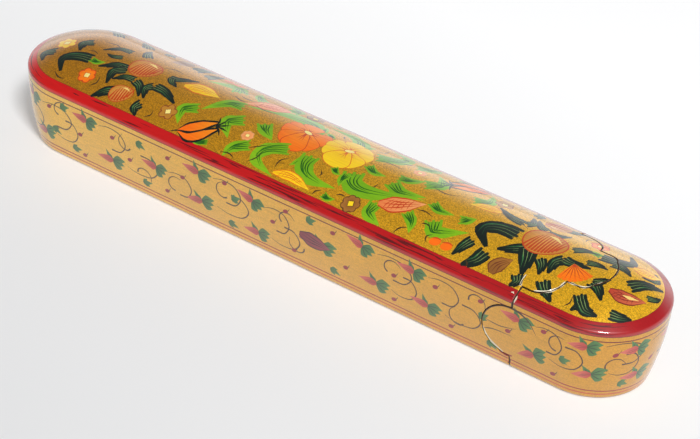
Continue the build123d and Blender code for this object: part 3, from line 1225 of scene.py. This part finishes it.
def model_tray():
    """The open tray as one closed mesh."""
    profile = tray_profile()
    reach, level = profile[0]
    bpy.ops.mesh.primitive_circle_add(
        vertices=ring_corners,
        radius=reach * mm,
        location=(0, 0, level * mm),
        rotation=(0, 0, math.pi / ring_corners),
    )
    tray = bpy.context.object
    tray.name = tray.data.name = "tray_skin"
    bpy.ops.object.transform_apply(location=True, rotation=True)
    bpy.ops.object.mode_set(mode="EDIT")
    mesh = tray.data
    for side in (-1, 1):
        pick(mesh, lambda v, side=side: v.co.x * side > 0)
        bpy.ops.transform.translate(value=(side * straight_half * mm, 0, 0))
    pick(mesh, lambda v: True)
    for next_reach, next_level in profile[1:]:
        bpy.ops.mesh.extrude_region_move(
            TRANSFORM_OT_translate={"value": (0, 0, (next_level - level) * mm)}
        )
        bm = bmesh.from_edit_mesh(mesh)
        ring = {v.index for v in bm.verts if v.select}
        for side in (-1, 1):
            pick(mesh, lambda v, side=side: v.index in ring and v.co.x * side > 0)
            bpy.ops.transform.resize(
                value=(next_reach / reach, next_reach / reach, 1),
                center_override=(side * straight_half * mm, 0, next_level * mm),
            )
        pick(mesh, lambda v: v.index in ring)
        reach, level = next_reach, next_level
    bpy.ops.mesh.edge_face_add()
    bpy.ops.mesh.select_all(action="SELECT")
    for station in (seam_station + seam_gap, seam_station + 2 * seam_gap):
        bpy.ops.mesh.bisect(plane_co=(station * mm, 0, 0), plane_no=(1, 0, 0))
        bpy.ops.mesh.select_all(action="SELECT")
    bpy.ops.mesh.normals_make_consistent(inside=False)
    bpy.ops.object.mode_set(mode="OBJECT")
    return tray


tray_skin = model_tray()
outside_points = len(tray_skin.data.vertices)
wall = tray_skin.modifiers.new("wall", "SOLIDIFY")
wall.thickness = tray_wall * mm
wall.offset = -1
wall.use_even_offset = True
bpy.ops.object.modifier_apply(modifier="wall")

bpy.ops.object.mode_set(mode="EDIT")
pick(tray_skin.data, lambda v: v.index < outside_points and v.co.x > land_start * mm)
bpy.ops.transform.shrink_fatten(value=land_growth * mm)
pick(tray_skin.data, lambda v: v.co.z > (tray_high.z - rim_zone) * mm)
bpy.ops.transform.resize(value=(1, 1, 0), center_override=(0, 0, tray_high.z * mm))
bpy.ops.mesh.bevel(offset=rim_round * mm, segments=3, affect="EDGES")
bpy.ops.object.mode_set(mode="OBJECT")
bpy.ops.object.shade_smooth_by_angle(angle=math.radians(30))
bpy.ops.object.select_all(action="DESELECT")
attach(tray_skin, "drawer")
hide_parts("drawer_tray")
print(f"tray: {len(tray_skin.data.polygons)} faces")

# %% [markdown]
# ## Finishes
#
# The paint's colour comes from the attribute that was written on the mesh. The nodes add what
# a brush and time add: a fine dust in the gold, streaks in the paint, a slow change of tone
# along the box, and a bright clear coat over it all. The streaks are a node group, because the
# plain lacquers need them too, and so is the gold dust, which keeps its flakes and its grain
# at one size. A group puts out masks, and each material decides what to do with them.

# %% Small helpers for node trees
def feed(tree, node, inputs):
    """Links or sets inputs of a node by name or number."""
    for name, value in inputs.items():
        if isinstance(value, bpy.types.NodeSocket):
            tree.links.new(value, node.inputs[name])
        else:
            node.inputs[name].default_value = value


def put(tree, kind, inputs=None, **settings):
    """Adds a node with its settings and its inputs."""
    node = tree.nodes.new(kind)
    for name, value in settings.items():
        setattr(node, name, value)
    feed(tree, node, inputs or {})
    return node


def calculate(tree, operation, *values):
    """One step of arithmetic, and the socket that holds its result."""
    return put(tree, "ShaderNodeMath", dict(enumerate(values)), operation=operation).outputs[0]


def blend(tree, share, first, second, kind="MIX"):
    """Mixes two colours. The Mix node keeps its colours in sockets 6 and 7, and puts out in 2."""
    inputs = {0: share, 6: first, 7: second}
    return put(tree, "ShaderNodeMix", inputs, data_type="RGBA", blend_type=kind).outputs[2]


def spread(tree, value, low, high, start=0.0, end=1.0):
    """Stretches a value that runs from start to end so that it runs from low to high."""
    inputs = {"Value": value, "From Min": start, "From Max": end, "To Min": low, "To Max": high}
    return put(tree, "ShaderNodeMapRange", inputs).outputs["Result"]


def noise(tree, place, scale, detail):
    """Soft noise between 0 and 1."""
    inputs = {"Vector": place, "Scale": scale, "Detail": detail}
    return put(tree, "ShaderNodeTexNoise", inputs).outputs[0]


def grey(tree, value):
    """A grey with one value in all its channels."""
    return put(tree, "ShaderNodeCombineColor", {0: value, 1: value, 2: value}).outputs[0]


def bump(tree, height, strength, distance):
    """The surface's normal, tilted by a small relief."""
    inputs = {"Height": height, "Strength": strength, "Distance": distance}
    return put(tree, "ShaderNodeBump", inputs).outputs["Normal"]


def paint_of(red, green, blue):
    """A colour of the painter's scale as a node takes it."""
    return (*linear(red, green, blue), 1)


def new_group(name, size_label, size, outputs):
    """An empty node group that takes a place and a size, and puts out numbers."""
    group = bpy.data.node_groups.new(name, "ShaderNodeTree")
    group.interface.new_socket("Vector", in_out="INPUT", socket_type="NodeSocketVector")
    socket = group.interface.new_socket(size_label, in_out="INPUT", socket_type="NodeSocketFloat")
    socket.default_value = size
    for label in outputs:
        group.interface.new_socket(label, in_out="OUTPUT", socket_type="NodeSocketFloat")
    return group, group.nodes.new("NodeGroupInput").outputs, group.nodes.new("NodeGroupOutput")

# %% Shared effects
per_metre = 1 / mm


def make_gold_dust():
    """Bright and dull flakes of ground gold, and the grain that they leave in the surface."""
    group, given, result = new_group("gold dust", "Size", 0.25, ("Flake", "Grain"))
    frequency = calculate(group, "DIVIDE", per_metre, given["Size"])
    cells = put(group, "ShaderNodeTexVoronoi", {"Vector": given["Vector"], "Scale": frequency})
    flake = put(group, "ShaderNodeSeparateColor", {"Color": cells.outputs["Color"]}).outputs[0]
    coarser = calculate(group, "MULTIPLY", frequency, 0.45)
    grain = noise(group, given["Vector"], coarser, 3.0)
    feed(group, result, {"Flake": flake, "Grain": grain})
    return group


def make_streaks():
    """Long soft streaks along the box, as a flat brush leaves them."""
    group, given, result = new_group("brush streaks", "Width", 0.5, ("Streak",))
    frequency = calculate(group, "DIVIDE", per_metre, given["Width"])
    squeezed = put(group, "ShaderNodeMapping", {"Vector": given["Vector"], "Scale": (0.08, 1, 1)})
    feed(group, result, {"Streak": noise(group, squeezed.outputs[0], frequency, 2.0)})
    return group


gold_dust = make_gold_dust()
brush_streaks = make_streaks()

# %% The painted lacquer
def start_material(name):
    """A material with one Principled shader, its node tree, and the Object coordinates."""
    material = bpy.data.materials.new(name)
    material.use_nodes = True
    tree = material.node_tree
    shader = next(node for node in tree.nodes if node.type == "BSDF_PRINCIPLED")
    place = put(tree, "ShaderNodeTexCoord").outputs["Object"]
    return material, tree, shader, place


def streaks_in(tree, place, width):
    """Brush streaks of a width in millimetres."""
    inputs = {"Vector": place, "Width": width}
    return put(tree, "ShaderNodeGroup", inputs, node_tree=brush_streaks).outputs["Streak"]


def clear_coat(weight, roughness):
    """The shader's values for a coat of clear varnish."""
    return {"Coat Weight": weight, "Coat Roughness": roughness, "Coat IOR": 1.5}


def make_painted_lacquer():
    """Paint and gold under a bright clear coat."""
    material, tree, shader, place = start_material("painted_lacquer")
    paint = put(tree, "ShaderNodeAttribute", attribute_name="paint").outputs
    gilding = paint["Alpha"]
    inputs = {"Vector": place, "Size": 0.24}
    dust = put(tree, "ShaderNodeGroup", inputs, node_tree=gold_dust).outputs
    streaky = spread(tree, streaks_in(tree, place, 0.55), 0.82, 1.16)
    cloudy = spread(tree, noise(tree, place, 70.0, 2.0), 0.9, 1.1)
    tone = calculate(tree, "MULTIPLY", streaky, cloudy)

    glitter = calculate(tree, "SUBTRACT", spread(tree, dust["Flake"], 0.62, 1.42), 1.0)
    glitter = calculate(tree, "ADD", calculate(tree, "MULTIPLY", glitter, gilding), 1.0)
    tone = grey(tree, calculate(tree, "MULTIPLY", tone, glitter))
    relief = calculate(tree, "MULTIPLY", dust["Grain"], gilding)
    feed(tree, shader, {
        "Base Color": blend(tree, 1.0, paint["Color"], tone, "MULTIPLY"),
        "Metallic": calculate(tree, "MULTIPLY", gilding, 0.35),
        "Roughness": spread(tree, dust["Grain"], 0.3, 0.5),
        "Normal": bump(tree, relief, 0.35, 0.08 * mm),
        **clear_coat(1.0, 0.04),
    })
    return material

# %% The cut edge and the plain lacquers
def make_cut_paper():
    """The edge of the layered paper at the seam, darkened by handling."""
    material, tree, shader, place = start_material("cut_paper")
    layers = noise(tree, place, 900.0, 4.0)
    feed(tree, shader, {
        "Base Color": blend(tree, layers, paint_of(66, 44, 26), paint_of(150, 118, 78)),
        "Roughness": spread(tree, layers, 0.6, 0.85),
        "Normal": bump(tree, layers, 0.5, 0.1 * mm),
    })
    return material


def rubbed_through(tree, place, rim_level, colour):
    """Bare brown paper in spots along a rim, and the given colour elsewhere."""
    level = put(tree, "ShaderNodeSeparateXYZ", {"Vector": place}).outputs["Z"]
    near_rim = spread(tree, level, 0.0, 1.0, (rim_level - 0.7) * mm, (rim_level + 0.05) * mm)
    wear = calculate(tree, "MULTIPLY", near_rim, noise(tree, place, 450.0, 4.0))
    return blend(tree, calculate(tree, "GREATER_THAN", wear, 0.42), colour, paint_of(120, 84, 48))


def make_plain_lacquer(name, dark, light, rim_level=None):
    """A plain lacquer in one colour, brushed on thin, and rubbed through at the rim if it has one."""
    material, tree, shader, place = start_material(name)
    streak = streaks_in(tree, place, 0.9)
    colour = blend(tree, streak, paint_of(*dark), paint_of(*light))
    if rim_level is not None:
        colour = rubbed_through(tree, place, rim_level, colour)
    feed(tree, shader, {
        "Base Color": colour,
        "Roughness": spread(tree, streak, 0.3, 0.5),
        "Normal": bump(tree, streak, 0.2, 0.1 * mm),
        **clear_coat(0.4, 0.18),
    })
    return material


painted_lacquer = make_painted_lacquer()
cut_paper = make_cut_paper()
inside_lacquer = make_plain_lacquer("inside_lacquer", (34, 14, 12), (52, 20, 15))
tray_lacquer = make_plain_lacquer("tray_lacquer", (118, 18, 14), (150, 30, 20), tray_high.z)
for skin_object in (case_skin, head_skin):
    for material in (painted_lacquer, cut_paper, inside_lacquer):
        skin_object.data.materials.append(material)
tray_skin.data.materials.append(tray_lacquer)
print(f"{len(bpy.data.materials)} finishes")

# %% [markdown]
# ## Camera, light and floor
#
# The camera stands where the photograph's did: to the right of the box's near side, above
# it, with a long lens. The light is a pale room, brightest low behind the box: its reflection
# whitens the far slope, as in the photograph. One lamp on the camera's side gives the glints
# on the head's round end and the shadows on the floor. The floor is light grey paper. What
# makes it pale to the camera, and in reflections, is a faint glow that lights nothing itself,
# so the box is not washed out by it.

# %% The camera
camera_place = Vector((321.15, -498.70, 425.07))
camera_turn = math.radians(-32.11)
camera_dip = math.radians(35.10)
camera_roll = math.radians(4.67)

camera_data = bpy.data.cameras.new("camera")
camera_data.lens = 115.96
camera_data.sensor_width = 36.0
camera = bpy.data.objects.new("camera", camera_data)
bpy.context.collection.objects.link(camera)
looking = Vector((
    math.sin(camera_turn) * math.cos(camera_dip),
    math.cos(camera_turn) * math.cos(camera_dip),
    -math.sin(camera_dip),
))
level_right = Vector((math.cos(camera_turn), -math.sin(camera_turn), 0))
level_up = level_right.cross(looking)
right = math.cos(camera_roll) * level_right + math.sin(camera_roll) * level_up
up = -math.sin(camera_roll) * level_right + math.cos(camera_roll) * level_up
camera.matrix_world = Matrix.LocRotScale(
    camera_place * mm, Matrix((right, up, -looking)).transposed().to_quaternion(), None
)
bpy.context.scene.camera = camera
print(f"camera {camera_place.length:.0f} mm away, lens {camera_data.lens} mm")

# %% The lamp
lamp_place = Vector((0.66, -0.62, 1.22))
lamp_side = 0.3

lamp_data = bpy.data.lights.new("key_lamp", "AREA")
lamp_data.shape = "RECTANGLE"
lamp_data.size = lamp_side
lamp_data.size_y = lamp_side
lamp_data.energy = 21.0
lamp = bpy.data.objects.new("key_lamp", lamp_data)
bpy.context.collection.objects.link(lamp)
lamp.location = lamp_place
lamp.rotation_mode = "QUATERNION"
lamp.rotation_quaternion = (-lamp_place).to_track_quat("-Z", "Y")
print(f"lamp of {lamp_data.energy:.0f} W, {lamp_place.length:.2f} m away")

# %% The room
world = bpy.data.worlds.new("room")
bpy.context.scene.world = world
world.use_nodes = True
room_tree = world.node_tree
room_direction = put(room_tree, "ShaderNodeTexCoord").outputs["Generated"]
room_axes = put(room_tree, "ShaderNodeSeparateXYZ", {"Vector": room_direction}).outputs
horizon = grey(room_tree, spread(room_tree, room_axes["Y"], 0.42, 1.3, -0.1, 0.6))
overhead = (0.09, 0.09, 0.095, 1)
upward = spread(room_tree, room_axes["Z"], 0.0, 1.0, 0.16, 0.52)
room_colour = blend(room_tree, upward, horizon, overhead)
feed(room_tree, room_tree.nodes["Background"], {"Color": room_colour, "Strength": 1.1})
print(f"room of {len(room_tree.nodes)} nodes")

# %% The floor
bpy.ops.mesh.primitive_plane_add(size=6)
floor = bpy.context.object
floor.name = "floor"
floor_paper, floor_tree, floor_shader, floor_place = start_material("floor_paper")
rays = put(floor_tree, "ShaderNodeLightPath").outputs
seen = calculate(floor_tree, "MAXIMUM", rays["Is Camera Ray"], rays["Is Glossy Ray"])
seen = calculate(floor_tree, "MAXIMUM", seen, rays["Is Transmission Ray"])
floor_depth = put(floor_tree, "ShaderNodeSeparateXYZ", {"Vector": floor_place}).outputs["Y"]
# Painted light: the glow is stronger towards the back of the floor, standing in for the brighter light
# that the room throws behind the box.
glow = spread(floor_tree, floor_depth, 0.12, 0.46, -0.15, 0.15)
feed(floor_tree, floor_shader, {
    "Base Color": (0.66, 0.665, 0.67, 1),
    "Roughness": 0.6,
    "Emission Color": grey(floor_tree, calculate(floor_tree, "MULTIPLY", glow, seen)),
    "Emission Strength": 1.0,
})
floor.data.materials.append(floor_paper)
print(f"floor {floor.dimensions.x:.0f} m wide")

# %% Finish
bpy.context.scene.view_settings.view_transform = "Standard"
